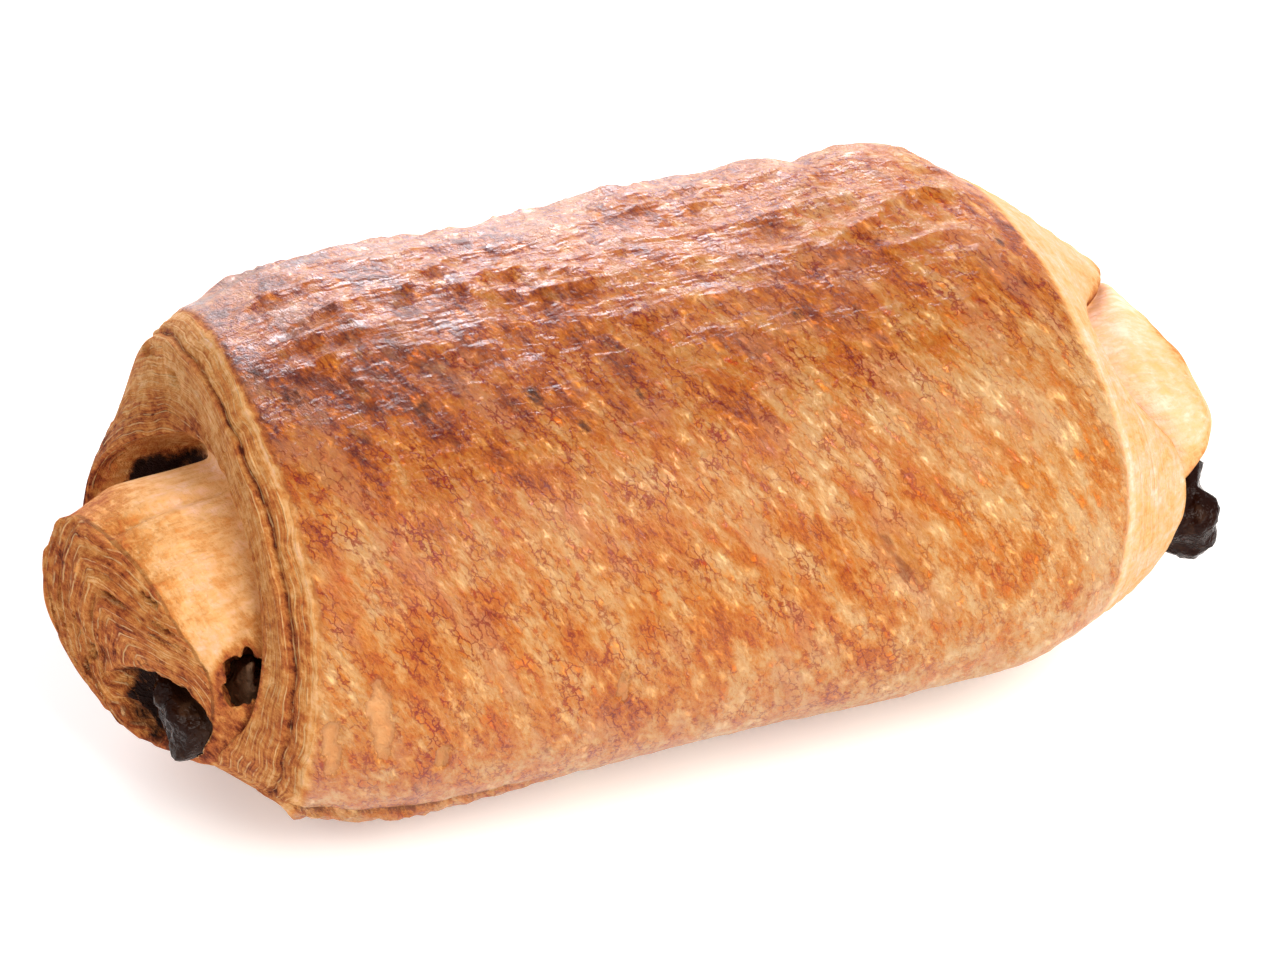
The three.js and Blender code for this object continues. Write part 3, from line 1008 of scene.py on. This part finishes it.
# %% Dough: relief
FOLD_DEPTH = 3
fold = add(dough, "TexNoise", {
    "Vector": fibrous, "Scale": 1 / (5 * MM), "Detail": 4, "Roughness": 0.6})["Fac"]
fold = add(dough, "Math", {0: fold, 1: 0.5}, operation="SUBTRACT")[0]
fold = add(dough, "Math", {0: fold}, operation="ABSOLUTE")[0]
on_top = add(dough, "MapRange", {
    "Value": apart["Z"], "From Min": 43 * MM, "From Max": 48.5 * MM,
    "To Max": -FOLD_DEPTH})["Result"]
fold = add(dough, "Math", {0: fold, 1: on_top}, operation="MULTIPLY")[0]
relief = 0
for field, share in (
        (masks["scales"], 0.42), (crack, -0.16), (masks["mottle"], 0.3), (fold, 1)):
    relief = add(dough, "Math", {0: field, 1: share, 2: relief}, operation="MULTIPLY_ADD")[0]
relief = add(dough, "Math", {0: relief, 1: stored["glaze"]}, operation="MULTIPLY")[0]
for field, share in ((streaks, 0.3), (layers, 0.25), (masks["fibre"], 0.12), (crumb, 0.8)):
    relief = add(dough, "Math", {0: field, 1: share, 2: relief}, operation="MULTIPLY_ADD")[0]
film = add(dough, "Math", {0: masks["scales"], 1: 0.06, 2: fold}, operation="MULTIPLY_ADD")[0]
bump, film_bump = (
    add(dough, "Bump", {"Strength": 1, "Distance": MM, "Height": heights})["Normal"]
    for heights in (relief, film))
print("two bumps:", bump.node.name, "and", film_bump.node.name)

# %% [markdown]
# ### The finish
# Baked dough is matt and lets a little light in. Over the crust lies a clear coat, the egg wash,
# thicker at the left, where more of it was brushed on. Stained dough, and dough painted as shade,
# has a little more shine.

# %% Dough: its finish
matt = add(dough, "MapRange", {"Value": stored["glaze"], "To Min": 0.75, "To Max": 0.4})["Result"]
for field, share in ((masks["scales"], 0.1), (stored["stain_and_shade"], -0.4)):
    matt = add(dough, "Math", {0: field, 1: share, 2: matt}, operation="MULTIPLY_ADD")[0]
wash = add(dough, "MapRange", {
    "Value": apart["X"], "From Min": -5 * MM, "From Max": 35 * MM,
    "To Min": 0.55, "To Max": 0.3})["Result"]
wash = add(dough, "Math", {0: wash, 1: stored["glaze"]}, operation="MULTIPLY")[0]
finish = add(dough, "BsdfPrincipled", {
    "Base Color": colour, "Roughness": matt, "Normal": bump, "IOR": 1.45,
    "Specular IOR Level": 0.14, "Subsurface Weight": 0.1, "Subsurface Radius": (1, 0.5, 0.25),
    "Subsurface Scale": MM, "Coat Weight": wash, "Coat Roughness": 0.12, "Coat IOR": 1.5,
    "Coat Normal": film_bump})
add(dough, "OutputMaterial", {"Surface": finish["BSDF"]})
pastry.data.materials.clear()
pastry.data.materials.append(dough)
print("the dough has", len(dough.node_tree.nodes), "nodes")

# %% [markdown]
# ## Dark chocolate
# Melted and set again without tempering, dark chocolate is nearly black, smooth and glossy in the
# open, and dulled by a greyish bloom of cocoa butter where it cooled slowly inside the dough.

# %% Chocolate
chocolate = start_material("melted dark chocolate")
here = add(chocolate, "TexCoord")["Object"]
cooled = add(chocolate, "Attribute", attribute_name="bloom")["Fac"]
for name, size, detail, roughness, low, high in (
        ("bloom", 2.4, 4, 0.6, 0.55, 0.7), ("ripple", 1.2, 3, 0.5, 0.3, 0.7)):
    cloud = add(chocolate, "TexNoise", {
        "Vector": here, "Scale": 1 / (size * MM), "Detail": detail, "Roughness": roughness})
    masks[name] = add(chocolate, "MapRange", {
        "Value": cloud["Fac"], "From Min": low, "From Max": high},
        interpolation_type="SMOOTHSTEP")["Result"]
dull = add(chocolate, "Math", {0: masks["bloom"], 1: 0.6}, operation="ADD")[0]
dull = add(chocolate, "Math", {0: dull, 1: cooled}, operation="MULTIPLY")[0]
dull = add(chocolate, "Math", {0: masks["bloom"], 1: 0.12, 2: dull},
           operation="MULTIPLY_ADD")[0]
colour = add(chocolate, "Mix", {0: dull, 6: linear("#1d0a05"), 7: linear("#6b4c36")},
             data_type="RGBA")[2]
bump = add(chocolate, "Bump", {
    "Strength": 0.6, "Distance": 0.3 * MM, "Height": masks["ripple"]})["Normal"]
matt = add(chocolate, "MapRange", {"Value": dull, "To Min": 0.12, "To Max": 0.55})["Result"]
finish = add(chocolate, "BsdfPrincipled", {
    "Base Color": colour, "Roughness": matt, "Normal": bump, "IOR": 1.45,
    "Specular IOR Level": 0.09})
add(chocolate, "OutputMaterial", {"Surface": finish["BSDF"]})
for bar in (front_stick, back_stick):
    bar.data.materials.clear()
    bar.data.materials.append(chocolate)
print("the chocolate has", len(chocolate.node_tree.nodes), "nodes")

# %% [markdown]
# ## The studio
# A white sweep and soft light from every side, as for a catalogue. The strongest source is a
# softbox low behind, a little cool: it lights nothing that the camera sees face on, and draws the
# pale sheen along the top of the glazed crust.

# %% Floor and light
clear_selection()
# A hair under the base, so that the two never lie in one plane.
bpy.ops.mesh.primitive_plane_add(size=4, location=(0, 0, -0.2 * MM))
floor = bpy.context.object
floor.name = "white_sweep"
sweep = start_material("white paper")
paper = add(sweep, "BsdfPrincipled", {
    "Base Color": linear("#f4f4f4"), "Roughness": 0.9, "Emission Color": linear("#ffffff"),
    "Emission Strength": 0.25})
add(sweep, "OutputMaterial", {"Surface": paper["BSDF"]})
floor.data.materials.append(sweep)


def softbox(name, azimuth, elevation, away, size, power, colour):
    """A square light that faces the pastry from a direction, in metres and watts."""
    turn, rise = np.radians([azimuth, elevation])
    place = away * np.array([
        np.sin(turn) * np.cos(rise), -np.cos(turn) * np.cos(rise), np.sin(rise)])
    bpy.ops.object.light_add(type="AREA", location=place, rotation=(np.pi / 2 - rise, 0, turn))
    light = bpy.context.object
    light.name = name
    light.data.size = size
    light.data.energy = power
    light.data.color = linear(colour)[:3]


softbox("back_softbox", 165, 15, 1.2, 0.55, 17, "#fbf8fe")
softbox("key_softbox", 30, 50, 1.2, 0.8, 17.5, "#fffaf2")
softbox("fill_softbox", -70, 35, 1.2, 0.8, 3, "#ffffff")
world = bpy.data.worlds.new("white room")
bpy.context.scene.world = world
world.use_nodes = True
background = world.node_tree.nodes["Background"]
background.inputs["Color"].default_value = linear("#ffffff")
background.inputs["Strength"].default_value = 0.55
bpy.context.scene.view_settings.view_transform = "Standard"
